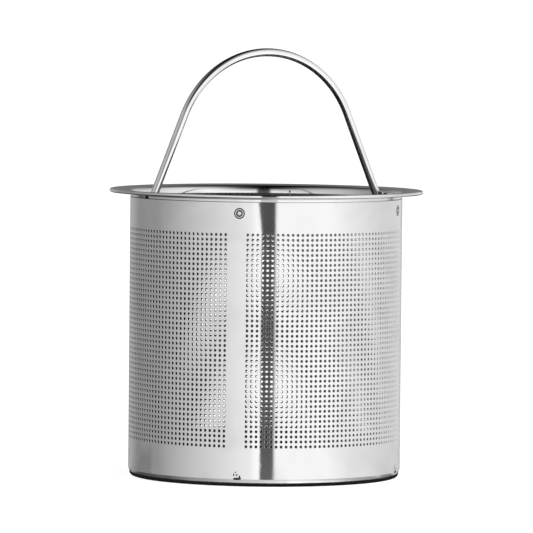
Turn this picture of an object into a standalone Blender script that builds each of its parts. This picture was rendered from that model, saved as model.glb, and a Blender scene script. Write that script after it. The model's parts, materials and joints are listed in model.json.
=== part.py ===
"""Lift-out strainer basket: a rolled perforated tube, a pressed rim, a pressed base and a folding wire bail.

Metres, +Z up. The origin is on the tube's axis, level with the underside of the base, and the bail
pivots about a line along X.
"""

import math

import bmesh
import bpy
from mathutils import Matrix

MM = 0.001

# Perforated sheet, punched flat and rolled into the wall
WALL_RADIUS = 33.0 * MM
WALL_HEIGHT = 66.0 * MM
SHEET_THICKNESS = 0.3 * MM
PLAIN_BAND = 7.2 * MM  # unpunched height above and below the holes
SEAM_STRIP = 4.2 * MM  # unpunched width along the closing seam
SEAM_AZIMUTH = math.radians(-131.9)
HOLE_PITCH = 1.2 * MM  # of the real holes
HOLE_DIAMETER = 0.6 * MM
CELL_ROWS = 7  # each modelled hole stands for a block of real ones with the same open share
HOLE_SIDES = 6

# Pressed rim: flange, neck, joggle and the sleeve that the sheet is welded to
FLANGE_RADIUS = 38.0 * MM
FLANGE_THICKNESS = 1.0 * MM
RIM_THICKNESS = 0.6 * MM
NECK_HEIGHT = 0.9 * MM  # shown between the sheet's upper edge and the flange
RIM_BEND = 0.3 * MM  # under the flange
MOUTH_BEND = 1.6 * MM  # from the flange down into the neck
FLANGE_EDGE = 0.3 * MM
JOGGLE_RISE = 0.2 * MM  # slant of the step from sleeve to neck, on the inside
SLEEVE_LENGTH = 5.0 * MM

# Pressed base
BASE_FOOT = 1.8 * MM  # shown below the sheet's lower edge
BASE_THICKNESS = 0.5 * MM
BASE_CORNER = 1.0 * MM
BASE_LAP = 4.6 * MM  # height of the upstand behind the sheet
DRAIN_RINGS = 3
DRAIN_PITCH = 7.2 * MM

# Wire bail
WIRE_DIAMETER = 2.0 * MM
BAIL_ARC_RADIUS = 24.7 * MM
BAIL_TOP = 103.8 * MM
FOOT_BEND = 1.3 * MM
PIVOT_DROP = 1.25 * MM  # from the flange's underside to the pivot axis

# Weld spots
SPOT_AZIMUTHS = [SEAM_AZIMUTH + math.radians(turn) for turn in (1.1, 86.5, 180.0, 270.0)]
RIM_SPOT_DIAMETER = 2.7 * MM
RIM_SPOT_DROP = 2.7 * MM  # below the sheet's upper edge
BASE_SPOT_DIAMETER = 2.0 * MM
BASE_SPOT_RISE = 1.7 * MM  # above the sheet's lower edge
SPOT_CROWN = 0.1 * MM
SPOT_RING_WIDTH = 0.6 * MM

# Clearances
LAP_GAP = 0.05 * MM  # between the sheet and the rim or base behind it
EDGE_GAP = 0.1 * MM  # between the sheet's upper edge and the neck
PIVOT_GAP = 0.2 * MM
PIN_TIP_GAP = 0.12 * MM
FOOT_GAP = 1.2 * MM  # from the neck's inside to the corner of the bail's foot
SPOT_GAP = 0.15 * MM
SPOT_SEAT = 0.1 * MM
JOIN = 0.001 * MM

# Facets
TURN_STEPS = 64
ARC_STEPS = 3
BAIL_STEPS = 26
PIN_SIDES = 16
SPOT_SIDES = 12
SHARP_ANGLE = math.radians(40.0)

# Derived places
SHEET_LOW = BASE_FOOT
SHEET_HIGH = BASE_FOOT + WALL_HEIGHT
FLANGE_LOW = SHEET_HIGH + NECK_HEIGHT
FLANGE_HIGH = FLANGE_LOW + FLANGE_THICKNESS
PIVOT_Z = FLANGE_LOW - PIVOT_DROP
FIELD_HEIGHT = WALL_HEIGHT - 2 * PLAIN_BAND
FIELD_WIDTH = 2 * math.pi * WALL_RADIUS - SEAM_STRIP
CELL_HEIGHT = FIELD_HEIGHT / CELL_ROWS
CELL_COLUMNS = round(FIELD_WIDTH / CELL_HEIGHT)
CELL_WIDTH = FIELD_WIDTH / CELL_COLUMNS
OPEN_SHARE = math.pi / 4 * (HOLE_DIAMETER / HOLE_PITCH) ** 2
CELL_HOLE_RADIUS = math.sqrt(OPEN_SHARE * CELL_WIDTH * CELL_HEIGHT / math.pi)
WALL_INSIDE = (WALL_RADIUS - SHEET_THICKNESS) * math.cos(max(CELL_WIDTH / 2, SEAM_STRIP) / 2 / WALL_RADIUS)
LAP_RADIUS = WALL_INSIDE - LAP_GAP
NECK_INSIDE = WALL_RADIUS - RIM_THICKNESS
WIRE_RADIUS = WIRE_DIAMETER / 2

STEEL_PARTS = bpy.data.collections.new("strainer_basket")
CUTTERS = bpy.data.collections.new("cutters")


def clear_scene():
    """Removes whatever the file holds, and links the two collections."""
    for obj in list(bpy.data.objects):
        bpy.data.objects.remove(obj)
    for collection in (STEEL_PARTS, CUTTERS):
        bpy.context.scene.collection.children.link(collection)


def steel(name, colour, roughness):
    """A polished steel of its own for one piece."""
    material = bpy.data.materials.new(name)
    material.use_nodes = True
    shader = material.node_tree.nodes["Principled BSDF"]
    shader.inputs["Base Color"].default_value = (*colour, 1.0)
    shader.inputs["Metallic"].default_value = 1.0
    shader.inputs["Roughness"].default_value = roughness
    return material


def mesh_object(name, shape, collection):
    """An object in the collection, from a bmesh that is used up."""
    mesh = bpy.data.meshes.new(name)
    shape.to_mesh(mesh)
    shape.free()
    obj = bpy.data.objects.new(name, mesh)
    collection.objects.link(obj)
    return obj


def finish(obj, material, assembly):
    """Smooth shading, the piece's material and its place in the assembly."""
    obj.data.materials.append(material)
    obj.parent = assembly
    if obj.type == "MESH":
        obj.data.shade_smooth()
        obj.data.set_sharp_from_angle(angle=SHARP_ANGLE)


def closed_loop(shape, points):
    """Joins 3D points into one closed loop of edges, and gives the edges."""
    verts = [shape.verts.new(point) for point in points]
    return [shape.edges.new((a, b)) for a, b in zip(verts, verts[1:] + verts[:1])]


def arc(centre_r, centre_z, radius, start, end, steps=ARC_STEPS):
    """Points of a circular arc in the (r, z) plane, angles in degrees."""
    turns = [math.radians(start + (end - start) * i / steps) for i in range(steps + 1)]
    return [(centre_r + radius * math.cos(t), centre_z + radius * math.sin(t)) for t in turns]


def turned(name, outline, steps, collection, is_ring=True):
    """Turns an (r, z) outline about Z. It runs down its outer side, and a ring's closes on itself."""
    shape = bmesh.new()
    verts = [shape.verts.new((r, 0.0, z)) for r, z in outline]
    for a, b in zip(verts, verts[1:]):
        shape.edges.new((a, b))
    if is_ring:
        shape.edges.new((verts[-1], verts[0]))
    obj = mesh_object(name, shape, collection)
    screw = obj.modifiers.new("turn", "SCREW")
    screw.steps = steps
    screw.render_steps = steps
    screw.use_merge_vertices = True
    screw.merge_threshold = JOIN
    return obj


def make_cutter(obj):
    """Keeps a tool out of the finished assembly."""
    obj.hide_render = True
    obj.display_type = "WIRE"
    return obj


def rods(name, places, radius, length, sides):
    """A cutter of straight rods along the local Z of each matrix in places."""
    shape = bmesh.new()
    for place in places:
        bmesh.ops.create_cone(
            shape, cap_ends=True, segments=sides, radius1=radius, radius2=radius, depth=length, matrix=place
        )
    return make_cutter(mesh_object(name, shape, CUTTERS))


def cut(obj, cutter):
    """Cuts the tool's shape out of a piece."""
    boolean = obj.modifiers.new(cutter.name, "BOOLEAN")
    boolean.operation = "DIFFERENCE"
    boolean.solver = "EXACT"
    boolean.object = cutter


def outward(azimuth, radius, height):
    """A frame on the wall whose Z points away from the axis."""
    return (
        Matrix.Rotation(azimuth, 4, "Z")
        @ Matrix.Translation((radius, 0.0, height))
        @ Matrix.Rotation(math.pi / 2, 4, "Y")
    )


def hole_cell(sheet):
    """One flat cell of the sheet with a hole in its middle, standing in the XZ plane from the origin."""
    frame = [(x, 0.0, 0.0) for x in (0.0, CELL_WIDTH / 2, CELL_WIDTH)]
    frame += [(x, 0.0, CELL_HEIGHT) for x in (CELL_WIDTH, CELL_WIDTH / 2, 0.0)]
    hole = [
        (CELL_WIDTH / 2 + r, 0.0, CELL_HEIGHT / 2 + z)
        for r, z in arc(0.0, 0.0, CELL_HOLE_RADIUS, 0, 360, HOLE_SIDES)[:-1]
    ]
    edges = closed_loop(sheet, frame) + closed_loop(sheet, hole)
    bmesh.ops.triangle_fill(sheet, use_beauty=True, edges=edges)


def widen(sheet, axis, level, step):
    """Extrudes the sheet's outer edge at one level of an axis by a plain strip."""
    rim = [e for e in sheet.edges if all(abs(v.co[axis] - level) < JOIN for v in e.verts)]
    strip = bmesh.ops.extrude_edge_only(sheet, edges=rim)["geom"]
    move = [0.0, 0.0, 0.0]
    move[axis] = step
    bmesh.ops.translate(sheet, vec=move, verts=[g for g in strip if isinstance(g, bmesh.types.BMVert)])


def roll(sheet):
    """Rolls the flat sheet round Z, with the middle of its plain strip at the seam's azimuth."""
    for vert in sheet.verts:
        turn = SEAM_AZIMUTH + (vert.co.x + SEAM_STRIP / 2) / WALL_RADIUS
        height = SHEET_LOW + PLAIN_BAND + vert.co.z
        vert.co = (WALL_RADIUS * math.cos(turn), WALL_RADIUS * math.sin(turn), height)
    bmesh.ops.remove_doubles(sheet, verts=sheet.verts, dist=JOIN)
    bmesh.ops.recalc_face_normals(sheet, faces=sheet.faces)


def perforated_wall():
    """The wall: cells of holes in rows and columns, plain bands and a seam strip, rolled and closed."""
    sheet = bmesh.new()
    hole_cell(sheet)
    cell = sheet.verts[:] + sheet.edges[:] + sheet.faces[:]
    for column in range(CELL_COLUMNS):
        for row in range(CELL_ROWS):
            if column or row:
                copy = bmesh.ops.duplicate(sheet, geom=cell)["geom"]
                verts = [g for g in copy if isinstance(g, bmesh.types.BMVert)]
                bmesh.ops.translate(sheet, vec=(column * CELL_WIDTH, 0.0, row * CELL_HEIGHT), verts=verts)
    bmesh.ops.remove_doubles(sheet, verts=sheet.verts, dist=JOIN)
    widen(sheet, 0, FIELD_WIDTH, SEAM_STRIP)
    widen(sheet, 2, FIELD_HEIGHT, PLAIN_BAND)
    widen(sheet, 2, 0.0, -PLAIN_BAND)
    roll(sheet)
    wall = mesh_object("perforated_wall", sheet, STEEL_PARTS)
    gauge = wall.modifiers.new("gauge", "SOLIDIFY")
    gauge.thickness = SHEET_THICKNESS
    gauge.offset = -1.0
    gauge.use_even_offset = True
    return wall


def rim_outline():
    """Section of the rim, down its outside from the flange to the sleeve and back up its inside."""
    neck_low = SHEET_HIGH + EDGE_GAP
    sleeve_low = SHEET_HIGH - SLEEVE_LENGTH
    sleeve_inside = LAP_RADIUS - RIM_THICKNESS
    mouth_z = FLANGE_HIGH - MOUTH_BEND
    step_z = min(neck_low + RIM_THICKNESS, mouth_z - JOGGLE_RISE)
    edge_r = FLANGE_RADIUS - FLANGE_EDGE
    outline = [(edge_r, FLANGE_HIGH), (FLANGE_RADIUS, FLANGE_HIGH - FLANGE_EDGE)]
    outline += [(FLANGE_RADIUS, FLANGE_LOW + FLANGE_EDGE), (edge_r, FLANGE_LOW)]
    outline += arc(WALL_RADIUS + RIM_BEND, FLANGE_LOW - RIM_BEND, RIM_BEND, 90, 180)
    outline += [(WALL_RADIUS, neck_low), (LAP_RADIUS, neck_low), (LAP_RADIUS, sleeve_low)]
    outline += [(sleeve_inside, sleeve_low), (sleeve_inside, step_z - JOGGLE_RISE), (NECK_INSIDE, step_z)]
    outline += arc(NECK_INSIDE + MOUTH_BEND, mouth_z, MOUTH_BEND, 180, 90)
    return outline


def rim_ring():
    """The pressed rim, with a pivot hole through its neck on either side."""
    ring = turned("rim_ring", rim_outline(), TURN_STEPS, STEEL_PARTS)
    along_x = Matrix.Translation((0.0, 0.0, PIVOT_Z)) @ Matrix.Rotation(math.pi / 2, 4, "Y")
    cut(ring, rods("pivot_holes", [along_x], WIRE_RADIUS + PIVOT_GAP, 2 * FLANGE_RADIUS, PIN_SIDES))
    return ring


def base_outline():
    """Section of the base, down its outside, in along its underside and back over its floor."""
    lap_high = SHEET_LOW + BASE_LAP
    corner_r = LAP_RADIUS - BASE_CORNER
    outline = [(LAP_RADIUS, lap_high)]
    outline += arc(corner_r, BASE_CORNER, BASE_CORNER, 0, -90)
    outline += [(0.0, 0.0), (0.0, BASE_THICKNESS)]
    outline += arc(corner_r, BASE_CORNER, BASE_CORNER - BASE_THICKNESS, -90, 0)
    outline += [(LAP_RADIUS - BASE_THICKNESS, lap_high), (LAP_RADIUS, lap_high)]
    return outline


def drain_places():
    """Hole centres on the base floor, one in the middle and six more on each ring outwards."""
    places = [Matrix.Identity(4)]
    for ring in range(1, DRAIN_RINGS + 1):
        for step in range(6 * ring):
            turn = Matrix.Rotation(math.tau * step / (6 * ring), 4, "Z")
            places.append(turn @ Matrix.Translation((ring * DRAIN_PITCH, 0.0, 0.0)))
    return places


def base_cup():
    """The pressed base, a shallow cup inside the foot of the wall, with drain holes in its floor."""
    cup = turned("base_cup", base_outline(), TURN_STEPS, STEEL_PARTS, is_ring=False)
    cut(cup, rods("drain_holes", drain_places(), CELL_HOLE_RADIUS, 4 * BASE_THICKNESS, HOLE_SIDES))
    return cup


def bail_side():
    """Centre line of the bail's +X half about its pivot, from the pin's tip up to the crown."""
    corner_x = NECK_INSIDE - FOOT_GAP
    tip_x = WALL_INSIDE - PIN_TIP_GAP
    crown_z = BAIL_TOP - WIRE_RADIUS - PIVOT_Z
    centre_z = crown_z - BAIL_ARC_RADIUS
    reach = math.hypot(corner_x, centre_z)
    leg_rise = math.asin(BAIL_ARC_RADIUS / reach) + math.atan2(centre_z, corner_x)
    bend_x = corner_x + FOOT_BEND * math.tan(leg_rise / 2)
    leg_turn = math.degrees(leg_rise)
    points = [(tip_x, 0.0)]
    points += arc(bend_x, FOOT_BEND, FOOT_BEND, -90, -90 - leg_turn)
    points += arc(0.0, centre_z, BAIL_ARC_RADIUS, 90 - leg_turn, 90, BAIL_STEPS // 2)
    return points


def bail_handle():
    """The wire bail, standing up, with its origin on the pivot axis."""
    side = bail_side()
    line = side + [(-x, z) for x, z in reversed(side[:-1])]
    curve = bpy.data.curves.new("bail_handle", "CURVE")
    curve.dimensions = "3D"
    curve.bevel_depth = WIRE_RADIUS
    curve.bevel_resolution = 4
    curve.use_fill_caps = True
    wire = curve.splines.new("POLY")
    wire.points.add(len(line) - 1)
    wire.use_smooth = True
    for point, (x, z) in zip(wire.points, line):
        point.co = (x, 0.0, z, 1.0)
    bail = bpy.data.objects.new("bail_handle", curve)
    bail.location.z = PIVOT_Z
    STEEL_PARTS.objects.link(bail)
    return bail


def spot_outline(radius, depth):
    """Section of a weld spot: a raised ring round a crowned middle, on a plug through the sheet."""
    outline = [(0.0, SPOT_CROWN), (radius - SPOT_RING_WIDTH, 0.0), (radius - SPOT_CROWN, SPOT_CROWN)]
    outline += [(radius, 0.0), (radius, -depth), (0.0, -depth)]
    return outline


def weld_spots(label, diameter, height):
    """One plug of fused steel at each azimuth, and the cutter that lets them into the sheet."""
    depth = WALL_RADIUS - LAP_RADIUS - SPOT_SEAT
    spots = []
    for number, azimuth in enumerate(SPOT_AZIMUTHS, start=1):
        name = f"{label}_weld_{number}"
        spot = turned(name, spot_outline(diameter / 2, depth), SPOT_SIDES, STEEL_PARTS, is_ring=False)
        spot.matrix_world = outward(azimuth, WALL_RADIUS, height)
        spots.append(spot)
    places = [outward(azimuth, WALL_RADIUS, height) for azimuth in SPOT_AZIMUTHS]
    cutter = rods(f"{label}_weld_seats", places, diameter / 2 + SPOT_GAP, 4 * depth, SPOT_SIDES)
    return spots, cutter


def main():
    """Builds every piece and gathers them under one empty at the origin."""
    clear_scene()
    assembly = bpy.data.objects.new("strainer_basket_origin", None)
    STEEL_PARTS.objects.link(assembly)
    wall = perforated_wall()
    finish(wall, steel("rolled_sheet", (0.72, 0.72, 0.73), 0.22), assembly)
    finish(rim_ring(), steel("pressed_rim", (0.74, 0.74, 0.75), 0.18), assembly)
    finish(base_cup(), steel("pressed_base", (0.70, 0.70, 0.71), 0.24), assembly)
    finish(bail_handle(), steel("drawn_wire", (0.78, 0.78, 0.79), 0.10), assembly)
    weld_rows = (
        ("rim", RIM_SPOT_DIAMETER, SHEET_HIGH - RIM_SPOT_DROP),
        ("base", BASE_SPOT_DIAMETER, SHEET_LOW + BASE_SPOT_RISE),
    )
    for label, diameter, height in weld_rows:
        spots, cutter = weld_spots(label, diameter, height)
        cut(wall, cutter)
        for spot in spots:
            finish(spot, steel(f"{spot.name}_steel", (0.62, 0.62, 0.63), 0.35), assembly)


main()
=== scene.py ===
"""Looks of a lift-out strainer basket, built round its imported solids.

A rolled sheet with some seven thousand punched holes, a pressed rim and base, a wire bail and eight weld
marks, all in polished steel. Metres, +Z up, X along the bail's pivot axis.
"""

import json
import logging
import math
from collections.abc import Callable, Iterator, Sequence
from contextlib import contextmanager
from dataclasses import dataclass, field, replace
from enum import Enum
from itertools import pairwise

import bmesh
import bpy
import numpy as np
from mathutils import Matrix, Vector


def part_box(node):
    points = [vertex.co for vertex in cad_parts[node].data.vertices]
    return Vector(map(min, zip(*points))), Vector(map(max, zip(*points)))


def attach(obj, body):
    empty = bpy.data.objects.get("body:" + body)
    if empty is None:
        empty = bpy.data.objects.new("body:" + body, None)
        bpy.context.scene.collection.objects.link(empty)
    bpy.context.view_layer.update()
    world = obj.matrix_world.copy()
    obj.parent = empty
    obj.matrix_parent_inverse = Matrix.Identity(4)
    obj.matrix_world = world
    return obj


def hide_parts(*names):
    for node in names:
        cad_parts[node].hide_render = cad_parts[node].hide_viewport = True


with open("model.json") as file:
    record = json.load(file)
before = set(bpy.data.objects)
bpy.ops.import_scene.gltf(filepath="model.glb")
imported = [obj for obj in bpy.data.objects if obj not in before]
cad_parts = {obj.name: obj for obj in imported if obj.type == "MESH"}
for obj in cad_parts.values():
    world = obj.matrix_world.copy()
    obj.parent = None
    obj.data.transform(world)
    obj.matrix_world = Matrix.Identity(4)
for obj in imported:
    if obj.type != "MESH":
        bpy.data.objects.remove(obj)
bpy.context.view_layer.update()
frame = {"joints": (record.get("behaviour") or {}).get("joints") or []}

LOG = logging.getLogger("strainer_basket")
MM = 0.001
WELD = 0.001 * MM
SMOOTH_ANGLE = math.radians(35.0)
SCORCH = "scorch"
SIDE_SHADE = "painted_side_shade"
# Where the noise of dull patches and of hairline scratches begins to show, and where it shows in full.
PATCH_RANGE = (0.42, 0.72)
HAIR_RANGE = (0.70, 0.78)
HAIR_TURN = (0.5, 0.9, 0.3)
HAIR_STRETCH = (14.0, 14.0, 0.9)

Point = tuple[float, float]


class Body(Enum):
    """The two bodies that pieces ride on."""

    BASKET = "basket"
    BAIL = "bail"


class Slot(Enum):
    """The record's material slots."""

    SHEET = "sheet_steel"
    RIM = "rim_steel"
    BASE = "base_steel"
    WIRE = "wire_steel"
    WELD = "weld_steel"


class Axis(Enum):
    """An axis by its place in a coordinate."""

    X = 0
    Y = 1


# Modelling helpers


def deselect_all() -> None:
    """Leaves edit mode and deselects every object."""
    if bpy.context.mode != "OBJECT":
        bpy.ops.object.mode_set(mode="OBJECT")
    bpy.ops.object.select_all(action="DESELECT")


def activate(obj: bpy.types.Object) -> None:
    """Makes one object the only selected one and the active one."""
    deselect_all()
    obj.select_set(True)
    bpy.context.view_layer.objects.active = obj


@contextmanager
def editing(obj: bpy.types.Object) -> Iterator[None]:
    """Holds edit mode on one object.

    Args:
        obj: The mesh object to edit.
    """
    activate(obj)
    bpy.ops.object.mode_set(mode="EDIT")
    yield
    bpy.ops.object.mode_set(mode="OBJECT")


def settle(obj: bpy.types.Object) -> None:
    """Moves an object's place, turn and size into its mesh."""
    activate(obj)
    bpy.ops.object.transform_apply(location=True, rotation=True, scale=True)


def apply_modifier(obj: bpy.types.Object, modifier: bpy.types.Modifier) -> None:
    """Applies one modifier to its object."""
    activate(obj)
    bpy.ops.object.modifier_apply(modifier=modifier.name)


def pick_verts(obj: bpy.types.Object, test: Callable[[Vector], bool]) -> None:
    """Selects the vertices whose places pass a test, in edit mode.

    Args:
        obj: The object in edit mode.
        test: Says of a place whether its vertex is wanted.
    """
    bpy.ops.mesh.select_mode(type="VERT")
    bpy.ops.mesh.select_all(action="DESELECT")
    shape = bmesh.from_edit_mesh(obj.data)
    for vert in shape.verts:
        vert.select = test(vert.co)
    shape.select_flush(True)
    bmesh.update_edit_mesh(obj.data)


def pick_open_edges(obj: bpy.types.Object, test: Callable[[Vector, Vector], bool]) -> None:
    """Selects the open edges whose two ends pass a test, in edit mode.

    Args:
        obj: The object in edit mode.
        test: Says of two ends whether their edge is wanted.
    """
    bpy.ops.mesh.select_mode(type="EDGE")
    bpy.ops.mesh.select_all(action="DESELECT")
    shape = bmesh.from_edit_mesh(obj.data)
    for edge in shape.edges:
        edge.select = edge.is_boundary and test(edge.verts[0].co, edge.verts[1].co)
    bmesh.update_edit_mesh(obj.data)


def pull_edges(move: Sequence[float]) -> None:
    """Extrudes the selected edges by a vector, in edit mode."""
    bpy.ops.mesh.extrude_edges_move(TRANSFORM_OT_translate={"value": tuple(move)})


def face_outwards() -> None:
    """Turns all faces of the shape in edit mode outwards, once its doubles are merged."""
    bpy.ops.mesh.select_all(action="SELECT")
    bpy.ops.mesh.remove_doubles(threshold=WELD)
    bpy.ops.mesh.normals_make_consistent(inside=False)


def read_places(obj: bpy.types.Object) -> np.ndarray:
    """Gives the places of an object's vertices as rows."""
    places = np.empty(len(obj.data.vertices) * 3, np.float32)
    obj.data.vertices.foreach_get("co", places)
    return places.reshape(-1, 3).astype(float)


def write_places(obj: bpy.types.Object, places: np.ndarray) -> None:
    """Sets the places of an object's vertices from rows."""
    obj.data.vertices.foreach_set("co", places.astype(np.float32).ravel())
    obj.data.update()


def arc(centre: Point, radius: float, start: float, end: float, steps: int = 8) -> list[Point]:
    """Works out the points of a circular arc.

    Args:
        centre: The arc's centre, as (r, z).
        radius: The arc's radius.
        start: Where it starts, in degrees from the r axis.
        end: Where it ends, in degrees.
        steps: The number of chords.

    Returns:
        The points, both ends included.
    """
    turns = [math.radians(start + (end - start) * step / steps) for step in range(steps + 1)]
    return [(centre[0] + radius * math.cos(turn), centre[1] + radius * math.sin(turn)) for turn in turns]


def trace_outline(outline: Sequence[Point], closed: bool) -> bpy.types.Object:
    """Draws an outline in the XZ plane by pulling one vertex from point to point.

    Args:
        outline: The (r, z) points.
        closed: Whether the last point joins the first.

    Returns:
        An object of edges.
    """
    deselect_all()
    bpy.ops.mesh.primitive_plane_add(size=MM)
    line = bpy.context.object
    with editing(line):
        bpy.ops.mesh.select_mode(type="VERT")
        bpy.ops.mesh.select_all(action="SELECT")
        bpy.ops.mesh.merge(type="CENTER")
        bpy.ops.transform.translate(value=(outline[0][0], 0.0, outline[0][1]))
        for (r0, z0), (r1, z1) in pairwise(outline):
            bpy.ops.mesh.extrude_vertices_move(TRANSFORM_OT_translate={"value": (r1 - r0, 0.0, z1 - z0)})
        if closed:
            shape = bmesh.from_edit_mesh(line.data)
            shape.verts.ensure_lookup_table()
            shape.verts[0].select = True
            shape.select_flush(True)
            bmesh.update_edit_mesh(line.data)
            bpy.ops.mesh.edge_face_add()
    return line


def turn_outline(outline: Sequence[Point], steps: int, closed: bool = True) -> bpy.types.Object:
    """Spins an (r, z) outline once round Z.

    Args:
        outline: The section's points.
        steps: Facets in the whole turn.
        closed: Whether the section closes on itself. If not, its ends lie on the axis or stay open.

    Returns:
        The turned object.
    """
    piece = trace_outline(outline, closed)
    with editing(piece):
        bpy.ops.mesh.select_all(action="SELECT")
        bpy.ops.mesh.spin(steps=steps, angle=math.tau, center=(0.0, 0.0, 0.0), axis=(0.0, 0.0, 1.0))
        face_outwards()
    return piece


def repeat(obj: bpy.types.Object, count: int, step: Sequence[float]) -> None:
    """Repeats a shape in a row whose copies share their edges.

    Args:
        obj: The shape, changed in place.
        count: How many there are in the end.
        step: From one copy to the next.
    """
    row = obj.modifiers.new("row", "ARRAY")
    row.count = count
    row.use_relative_offset = False
    row.use_constant_offset = True
    row.constant_offset_displace = step
    row.use_merge_vertices = True
    row.merge_threshold = WELD
    apply_modifier(obj, row)


def cut_away(obj: bpy.types.Object, tool: bpy.types.Object) -> None:
    """Cuts a tool's shape out of a piece and removes the tool."""
    cut = obj.modifiers.new("cut", "BOOLEAN")
    cut.operation = "DIFFERENCE"
    cut.solver = "EXACT"
    cut.object = tool
    apply_modifier(obj, cut)
    bpy.data.objects.remove(tool)


def smooth(obj: bpy.types.Object, angle: float = SMOOTH_ANGLE) -> None:
    """Shades a piece smooth, apart from its sharp edges."""
    activate(obj)
    bpy.ops.object.shade_smooth_by_angle(angle=angle)


def punched_tile(
    size: Point, hole_radius: float, lip: float, gauge: float, sides: int
) -> bpy.types.Object:
    """Models one square of sheet round its hole, lying in the XY plane with its outer face up.

    Args:
        size: Width and height of the square.
        hole_radius: Radius of the hole.
        lip: Size of the rounded edge where the punch went in.
        gauge: Thickness of the sheet.
        sides: Sides of the hole, a multiple of four.

    Returns:
        The tile, from the origin to its size.
    """
    middle = Vector((size[0] / 2, size[1] / 2, 0.0))
    mouth = hole_radius + lip

    def spread(tile: bpy.types.Object) -> None:
        """Pulls the selected ring out to the square's corners, and to the middles of its sides."""
        pull_edges((0.0, 0.0, 0.0))
        shape = bmesh.from_edit_mesh(tile.data)
        for vert in shape.verts:
            if vert.select:
                for axis in (0, 1):
                    offset = vert.co[axis] - middle[axis]
                    # What lies on the tile's middle line stays on it.
                    if abs(offset) > hole_radius / 4:
                        vert.co[axis] = middle[axis] + math.copysign(size[axis] / 2, offset)
        bmesh.update_edit_mesh(tile.data)

    deselect_all()
    bpy.ops.mesh.primitive_circle_add(vertices=sides, radius=mouth, location=middle)
    tile = bpy.context.object
    settle(tile)
    with editing(tile):
        bpy.ops.mesh.select_all(action="SELECT")
        spread(tile)
        pick_verts(tile, lambda co: (co - middle).length < mouth + WELD)
        pull_edges((0.0, 0.0, -lip))
        narrowing = hole_radius / mouth
        bpy.ops.transform.resize(value=(narrowing, narrowing, 1.0), center_override=middle)
        pull_edges((0.0, 0.0, lip - gauge))
        spread(tile)
    return tile


# Finishes


class Wiring:
    """A node tree with short calls to add and link nodes."""

    def __init__(self, tree: bpy.types.NodeTree) -> None:
        """Keeps the tree that nodes go into."""
        self.tree = tree

    def add(self, kind: str, **settings: object) -> bpy.types.Node:
        """Adds a node.

        Args:
            kind: Its type, without the ShaderNode that it starts with.
            settings: Attributes to set on it.

        Returns:
            The node.
        """
        prefix = "" if kind.startswith("Node") else "ShaderNode"
        node = self.tree.nodes.new(prefix + kind)
        for name, value in settings.items():
            setattr(node, name, value)
        return node

    def link(self, source: bpy.types.NodeSocket, target: bpy.types.NodeSocket) -> None:
        """Links an output to an input."""
        self.tree.links.new(source, target)

    def math(self, operation: str, *values: bpy.types.NodeSocket | float) -> bpy.types.NodeSocket:
        """Adds a Math node.

        Args:
            operation: What it works out.
            values: Sockets to link, or plain numbers.

        Returns:
            Its output.
        """
        node = self.add("Math", operation=operation)
        for socket, value in zip(node.inputs, values):
            if isinstance(value, bpy.types.NodeSocket):
                self.link(value, socket)
            else:
                socket.default_value = value
        return node.outputs[0]


def new_group(name: str, inputs: dict[str, float | None], outputs: Sequence[str]) -> Wiring:
    """Starts a shader node group.

    Args:
        name: The group's name.
        inputs: Its inputs with their plain values, None for a vector.
        outputs: Its outputs, all values.

    Returns:
        The group's wiring, with its input and output nodes in place.
    """
    group = bpy.data.node_groups.new(name, "ShaderNodeTree")
    for label, value in inputs.items():
        kind = "NodeSocketVector" if value is None else "NodeSocketFloat"
        socket = group.interface.new_socket(name=label, in_out="INPUT", socket_type=kind)
        if value is not None:
            socket.default_value = value
    for label in outputs:
        group.interface.new_socket(name=label, in_out="OUTPUT", socket_type="NodeSocketFloat")
    return Wiring(group)


def polishing_lines() -> bpy.types.ShaderNodeTree:
    """Builds the group for fine lines that run round the axis, as a polishing wheel leaves them."""
    wiring = new_group("polishing_lines", {"Vector": None, "Lines": 5000.0, "Length": 20.0}, ["Height"])
    given = wiring.add("NodeGroupInput")
    made = wiring.add("NodeGroupOutput")
    parts = wiring.add("SeparateXYZ")
    wiring.link(given.outputs["Vector"], parts.inputs[0])
    x, y, z = parts.outputs
    squares = [wiring.math("POWER", source, 2.0) for source in (x, y)]
    flat = wiring.math("SQRT", wiring.math("ADD", *squares))
    safe = wiring.math("MAXIMUM", flat, MM)
    around = wiring.add("CombineXYZ")
    for source, socket in zip((x, y), around.inputs):
        turn = wiring.math("DIVIDE", source, safe)
        wiring.link(wiring.math("MULTIPLY", turn, given.outputs["Length"]), socket)
    wiring.link(wiring.math("MULTIPLY", z, given.outputs["Lines"]), around.inputs[2])
    noise = wiring.add("TexNoise", noise_dimensions="4D")
    noise.inputs["Scale"].default_value = 1.0
    noise.inputs["Detail"].default_value = 3.0
    wiring.link(around.outputs[0], noise.inputs["Vector"])
    wiring.link(wiring.math("MULTIPLY", flat, given.outputs["Lines"]), noise.inputs["W"])
    wiring.link(noise.outputs[0], made.inputs["Height"])
    return wiring.tree


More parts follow.
